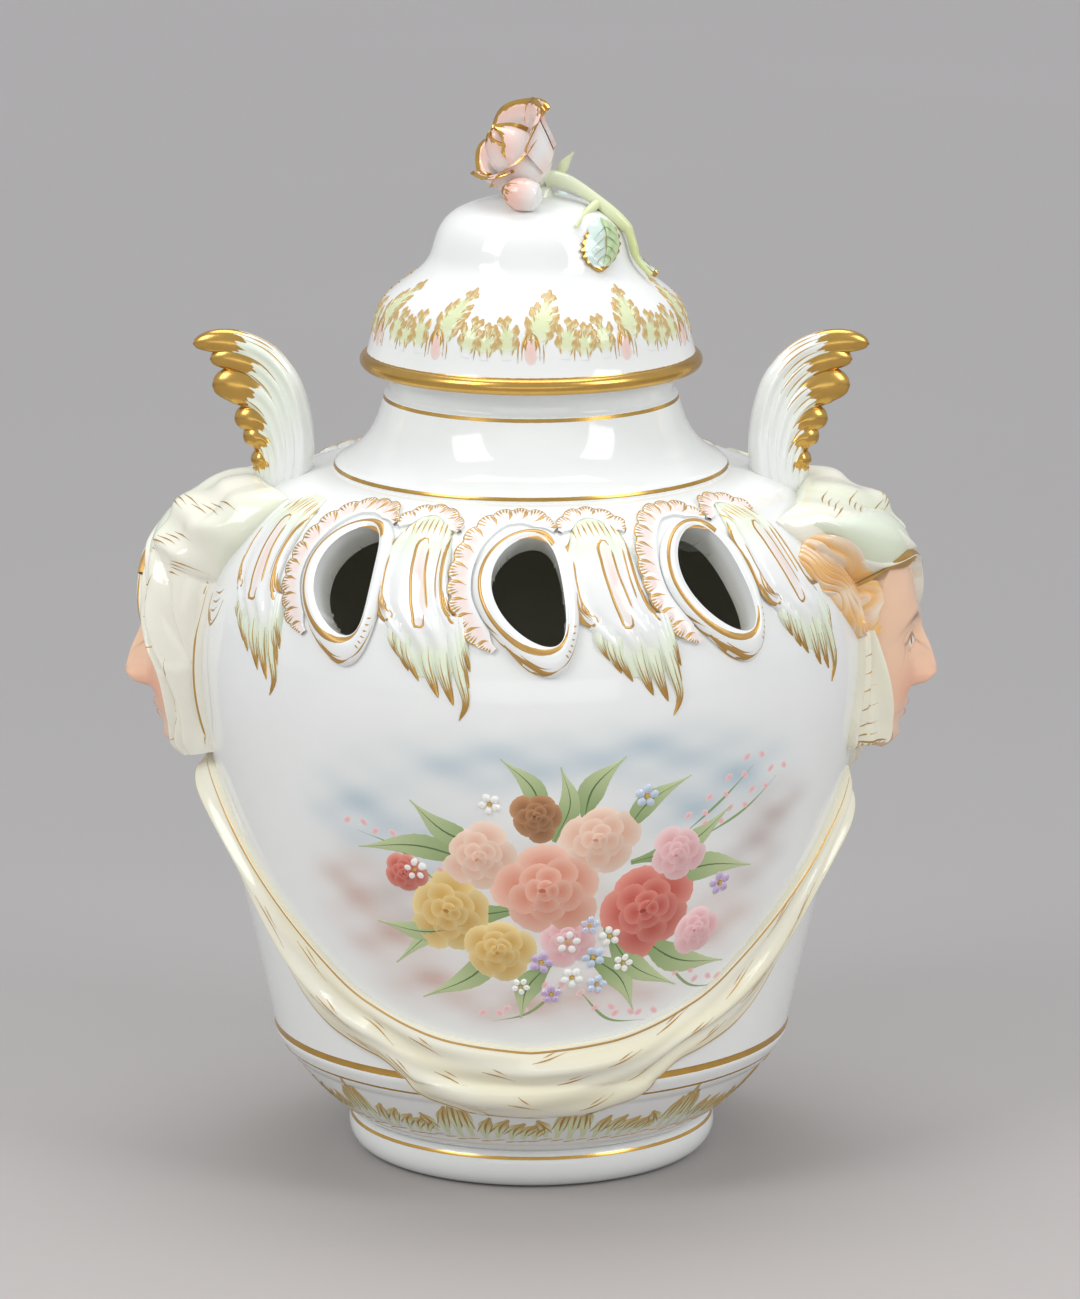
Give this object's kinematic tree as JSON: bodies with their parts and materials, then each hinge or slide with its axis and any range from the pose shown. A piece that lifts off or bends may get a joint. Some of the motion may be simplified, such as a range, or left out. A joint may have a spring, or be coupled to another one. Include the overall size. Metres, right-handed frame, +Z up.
{
  "type": "potpourri vase",
  "caption": "Porcelain potpourri vase with a pierced shoulder, applied masks, plumes and swags, and a loose domed lid with a modelled rose as its knob.",
  "frame": {"origin": "centre of the foot's flat rest face", "axes": "+Z up along the vase's axis, -Y towards the painted front, +X through the right mask"},
  "size_m": [0.191, 0.1584, 0.2507],
  "materials": {
    "white_glaze": "glossy glaze with painted and gilt decoration",
    "flesh_glaze": "glossy glaze with painted and gilt decoration",
    "hair_glaze": "glossy glaze with painted and gilt decoration",
    "cream_glaze": "glossy glaze with painted and gilt decoration",
    "leaf_glaze": "glossy glaze with painted and gilt decoration",
    "petal_glaze": "glossy glaze with painted and gilt decoration"
  },
  "bodies": {
    "vase": {"foot_ring": "white_glaze", "body_shell": "white_glaze", "neck": "white_glaze", "opening_frame_1": "white_glaze", "opening_frame_2": "white_glaze", "opening_frame_3": "white_glaze", "opening_frame_4": "white_glaze", "opening_frame_5": "white_glaze", "opening_frame_6": "white_glaze", "acanthus_leaf_1": "leaf_glaze", "acanthus_leaf_2": "leaf_glaze", "acanthus_leaf_3": "leaf_glaze", "acanthus_leaf_4": "leaf_glaze", "acanthus_leaf_5": "leaf_glaze", "acanthus_leaf_6": "leaf_glaze", "acanthus_leaf_7": "leaf_glaze", "acanthus_leaf_8": "leaf_glaze", "mask_face_right": "flesh_glaze", "mask_face_left": "flesh_glaze", "mask_hair_right": "hair_glaze", "mask_hair_left": "hair_glaze", "mask_veil_right": "cream_glaze", "mask_veil_left": "cream_glaze", "mask_lappet_right": "cream_glaze", "mask_lappet_left": "cream_glaze", "plume_right": "cream_glaze", "plume_left": "cream_glaze", "swag_front": "cream_glaze", "swag_back": "cream_glaze"},
    "lid": {"lid_cover": "white_glaze", "rose_base": "leaf_glaze", "rose_heart": "petal_glaze", "rose_petal_1": "petal_glaze", "rose_petal_2": "petal_glaze", "rose_petal_3": "petal_glaze", "rose_petal_4": "petal_glaze", "rose_petal_5": "petal_glaze", "rose_petal_6": "petal_glaze", "rose_petal_7": "petal_glaze", "rose_petal_8": "petal_glaze", "rose_stem": "leaf_glaze", "rose_bud": "petal_glaze", "rose_leaf_front": "leaf_glaze", "rose_leaf_side": "leaf_glaze", "rose_leaf_back": "leaf_glaze"}
  },
  "joints": [
    {"name": "lid_lift", "type": "slide", "parent": "vase", "child": "lid", "axis": [0, 0, 1], "range_m": [0, 0.12]}
  ]
}
